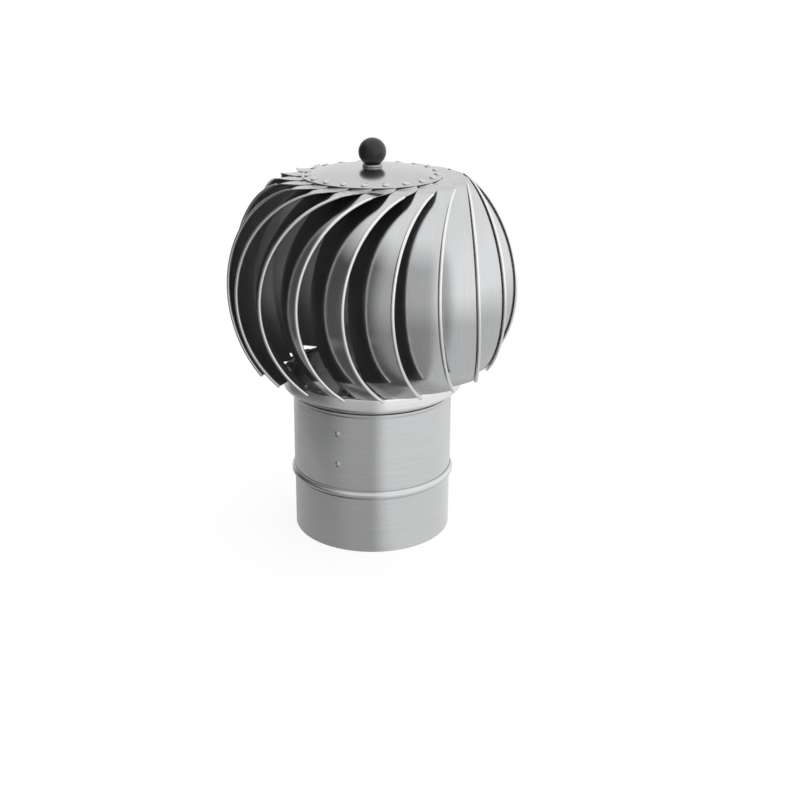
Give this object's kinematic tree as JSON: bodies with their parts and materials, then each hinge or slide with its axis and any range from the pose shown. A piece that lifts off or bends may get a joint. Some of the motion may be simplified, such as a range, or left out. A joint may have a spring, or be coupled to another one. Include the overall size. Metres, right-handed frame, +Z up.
{
  "type": "roof turbine ventilator",
  "caption": "Rotating roof and chimney cowl: a round head of curved hemmed vanes with a riveted cap and ball knob turns on ball bearings above a fixed duct spigot.",
  "frame": {"origin": "centre of the lower rim of the spigot, at its lowest plane", "axes": "+Z up along the spindle; -Y is the side that the picture shows; +X is to the picture's right"},
  "size_m": [0.3534, 0.3534, 0.4954],
  "materials": {
    "stainless_sheet": "satin brushed",
    "rivet_metal": "bright",
    "plated_steel": "zinc plated",
    "turned_aluminium": "turned",
    "bearing_steel": "ground",
    "cage_brass": "satin",
    "black_plastic": "satin"
  },
  "bodies": {
    "base": {"base_collar": "stainless_sheet", "duct_tube": "stainless_sheet", "support_bridge": "plated_steel", "bridge_rivets": "rivet_metal", "bearing_housing": "turned_aluminium", "housing_screws": "plated_steel", "housing_nuts": "plated_steel", "housing_circlip": "plated_steel", "dust_cover": "plated_steel", "outer_spacer": "turned_aluminium", "lower_outer_race": "bearing_steel", "upper_outer_race": "bearing_steel"},
    "lower_cage_set": {"lower_cage": "cage_brass", "lower_balls": "bearing_steel"},
    "upper_cage_set": {"upper_cage": "cage_brass", "upper_balls": "bearing_steel"},
    "rotor": {"spindle": "plated_steel", "spindle_locknut": "plated_steel", "hub_plate": "plated_steel", "lower_inner_race": "bearing_steel", "upper_inner_race": "bearing_steel", "inner_spacer": "turned_aluminium", "top_cap": "stainless_sheet", "cap_rivets": "rivet_metal", "lower_ring": "stainless_sheet", "ring_rivets": "rivet_metal", "knob_washer": "plated_steel", "ball_knob": "black_plastic", "vane_01": "stainless_sheet", "vane_02": "stainless_sheet", "vane_03": "stainless_sheet", "vane_04": "stainless_sheet", "vane_05": "stainless_sheet", "vane_06": "stainless_sheet", "vane_07": "stainless_sheet", "vane_08": "stainless_sheet", "vane_09": "stainless_sheet", "vane_10": "stainless_sheet", "vane_11": "stainless_sheet", "vane_12": "stainless_sheet", "vane_13": "stainless_sheet", "vane_14": "stainless_sheet", "vane_15": "stainless_sheet", "vane_16": "stainless_sheet", "vane_17": "stainless_sheet", "vane_18": "stainless_sheet", "vane_19": "stainless_sheet", "vane_20": "stainless_sheet"}
  },
  "joints": [
    {"name": "head_spin", "type": "hinge", "parent": "base", "child": "rotor", "pos_m": [0, 0, 0.253], "axis": [0, 0, 1], "continuous": true},
    {"name": "lower_cage_spin", "type": "hinge", "parent": "base", "child": "lower_cage_set", "pos_m": [0, 0, 0.215], "axis": [0, 0, 1], "continuous": true},
    {"name": "upper_cage_spin", "type": "hinge", "parent": "base", "child": "upper_cage_set", "pos_m": [0, 0, 0.253], "axis": [0, 0, 1], "continuous": true}
  ],
  "couplings": [
    {"joint": "lower_cage_spin", "follows": "head_spin", "ratio": 0.36477},
    {"joint": "upper_cage_spin", "follows": "head_spin", "ratio": 0.36477}
  ]
}
